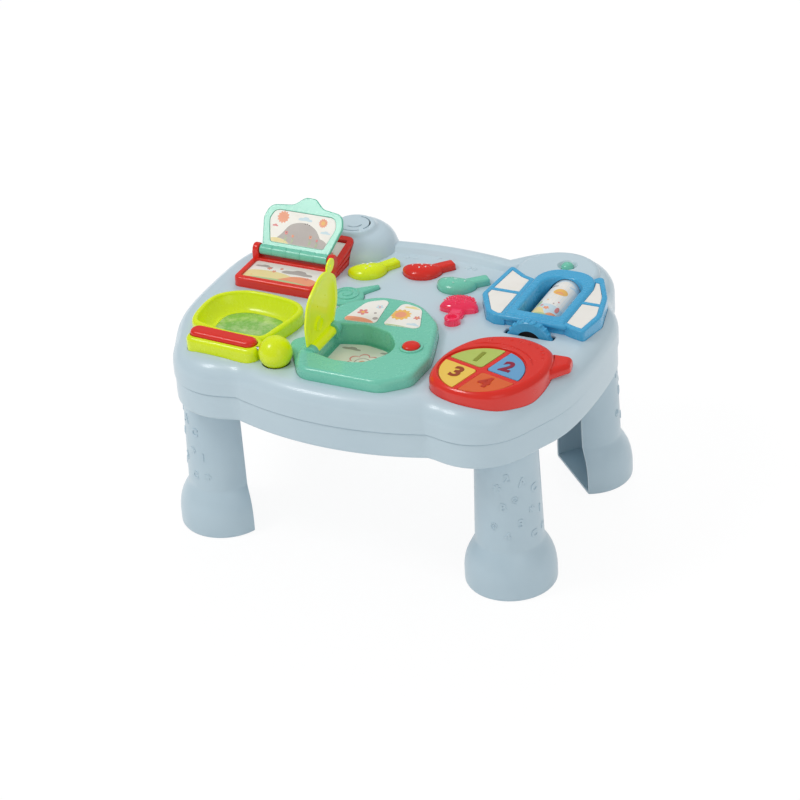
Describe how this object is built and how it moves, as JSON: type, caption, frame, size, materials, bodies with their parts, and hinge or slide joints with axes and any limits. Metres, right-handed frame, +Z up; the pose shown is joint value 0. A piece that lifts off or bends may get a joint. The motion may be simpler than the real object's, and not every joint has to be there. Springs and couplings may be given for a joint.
{
  "type": "baby activity table",
  "caption": "Low plastic activity table on plug-in legs with a hinged-page book, basin, rolling ball, lidded well, press keys, number pad, lamp and a turning picture window.",
  "frame": {"origin": "on the floor, under the middle of the overall box", "axes": "+Z up, +Y towards the back with the raised rim, +X to the right as seen from the front"},
  "size_m": [0.48, 0.3839, 0.3372],
  "materials": {
    "pale_blue": "satin moulded plastic",
    "mint": "gloss moulded plastic",
    "lime": "gloss moulded plastic",
    "red": "gloss moulded plastic",
    "blue": "gloss moulded plastic",
    "printed_card": "printed label sheet",
    "green_window": "clear tinted plastic",
    "lamp_red": "clear tinted plastic",
    "led": "clear lens",
    "silicone": "moulded silicone",
    "board_green": "laminate",
    "black": "matt",
    "cell": "printed sleeve on steel",
    "key_green": "clear tinted plastic",
    "key_blue": "clear tinted plastic",
    "key_yellow": "clear tinted plastic",
    "key_orange": "clear tinted plastic",
    "steel": "plated"
  },
  "bodies": {
    "table": {"top_shell": "pale_blue", "bottom_shell": "pale_blue", "leg_front_left": "pale_blue", "leg_front_right": "pale_blue", "leg_back_left": "pale_blue", "leg_back_right": "pale_blue", "battery_door": "pale_blue", "case_screw_1": "steel", "case_screw_2": "steel", "case_screw_3": "steel", "case_screw_4": "steel", "battery_door_screw": "steel", "contact_plate_left": "steel", "contact_plate_right": "steel", "book_hinge_pin": "steel", "lid_hinge_pin": "steel", "ball_axle": "steel", "battery_1": "cell", "battery_2": "cell", "battery_3": "cell", "circuit_board": "board_green", "speaker": "black", "book_frame": "red", "keypad_housing": "red", "book_front_picture": "printed_card", "book_back_picture": "printed_card", "left_panel": "printed_card", "right_panel": "printed_card", "well_picture": "printed_card", "left_pane_front": "printed_card", "left_pane_back": "printed_card", "right_pane_front": "printed_card", "right_pane_back": "printed_card", "door_box": "mint", "basin_frame": "lime", "basin_window": "green_window", "mushroom_lamp": "lamp_red", "lamp_led": "led", "window_frame": "blue", "keypad_membrane": "silicone"},
    "page": {"book_page": "mint", "page_front_picture": "printed_card", "page_back_picture": "printed_card"},
    "lid": {"door_lid": "lime"},
    "lid_release": {"lid_button": "red"},
    "long_key": {"basin_key": "red"},
    "ball": {"basin_ball": "lime"},
    "snail": {"snail_key": "mint"},
    "lime_mushroom": {"mushroom_key_lime": "lime"},
    "red_mushroom": {"mushroom_key_red": "red"},
    "mint_mushroom": {"mushroom_key_mint": "mint"},
    "key_one": {"number_key_1": "key_green"},
    "key_two": {"number_key_2": "key_blue"},
    "key_three": {"number_key_3": "key_yellow"},
    "key_four": {"number_key_4": "key_orange"},
    "power": {"power_button": "mint"},
    "picture_roller": {"picture_drum": "printed_card", "thumb_wheel": "blue", "roller_axle": "steel"}
  },
  "joints": [
    {"name": "page_turn", "type": "hinge", "parent": "table", "child": "page", "pos_m": [-0.15, 0.048, 0.2605], "axis": [1, 0, 0], "range_deg": [-30, 128]},
    {"name": "lid_close", "type": "hinge", "parent": "table", "child": "lid", "pos_m": [-0.04, -0.102, 0.2495], "axis": [0, 1, 0], "range_deg": [0, 84], "stiffness_Nm_per_rad": 0.01, "springref_deg": -28.65},
    {"name": "lid_button_press", "type": "slide", "parent": "table", "child": "lid_release", "axis": [0, 0, -1], "range_m": [0, 0.0015], "stiffness_N_per_m": 120, "springref_m": -0.0005},
    {"name": "long_key_press", "type": "slide", "parent": "table", "child": "long_key", "axis": [0, 0, -1], "range_m": [0, 0.0025], "stiffness_N_per_m": 120, "springref_m": -0.0005},
    {"name": "ball_spin", "type": "hinge", "parent": "table", "child": "ball", "pos_m": [-0.0745, -0.1465, 0.252], "axis": [1, 0, 0], "continuous": true},
    {"name": "snail_press", "type": "slide", "parent": "table", "child": "snail", "axis": [0, 0, -1], "range_m": [0, 0.002], "stiffness_N_per_m": 120, "springref_m": -0.0005},
    {"name": "lime_mushroom_press", "type": "slide", "parent": "table", "child": "lime_mushroom", "axis": [0, 0, -1], "range_m": [0, 0.002], "stiffness_N_per_m": 120, "springref_m": -0.0005},
    {"name": "red_mushroom_press", "type": "slide", "parent": "table", "child": "red_mushroom", "axis": [0, 0, -1], "range_m": [0, 0.002], "stiffness_N_per_m": 120, "springref_m": -0.0005},
    {"name": "mint_mushroom_press", "type": "slide", "parent": "table", "child": "mint_mushroom", "axis": [0, 0, -1], "range_m": [0, 0.002], "stiffness_N_per_m": 120, "springref_m": -0.0005},
    {"name": "key_one_press", "type": "slide", "parent": "table", "child": "key_one", "axis": [0, 0, -1], "range_m": [0, 0.002], "stiffness_N_per_m": 120, "springref_m": -0.0005},
    {"name": "key_two_press", "type": "slide", "parent": "table", "child": "key_two", "axis": [0, 0, -1], "range_m": [0, 0.002], "stiffness_N_per_m": 120, "springref_m": -0.0005},
    {"name": "key_three_press", "type": "slide", "parent": "table", "child": "key_three", "axis": [0, 0, -1], "range_m": [0, 0.002], "stiffness_N_per_m": 120, "springref_m": -0.0005},
    {"name": "key_four_press", "type": "slide", "parent": "table", "child": "key_four", "axis": [0, 0, -1], "range_m": [0, 0.002], "stiffness_N_per_m": 120, "springref_m": -0.0005},
    {"name": "power_press", "type": "slide", "parent": "table", "child": "power", "axis": [0, 0, -1], "range_m": [0, 0.002], "stiffness_N_per_m": 120, "springref_m": -0.0005},
    {"name": "picture_roll", "type": "hinge", "parent": "table", "child": "picture_roller", "pos_m": [0.16, 0.06, 0.2305], "axis": [0, 1, 0], "continuous": true}
  ]
}
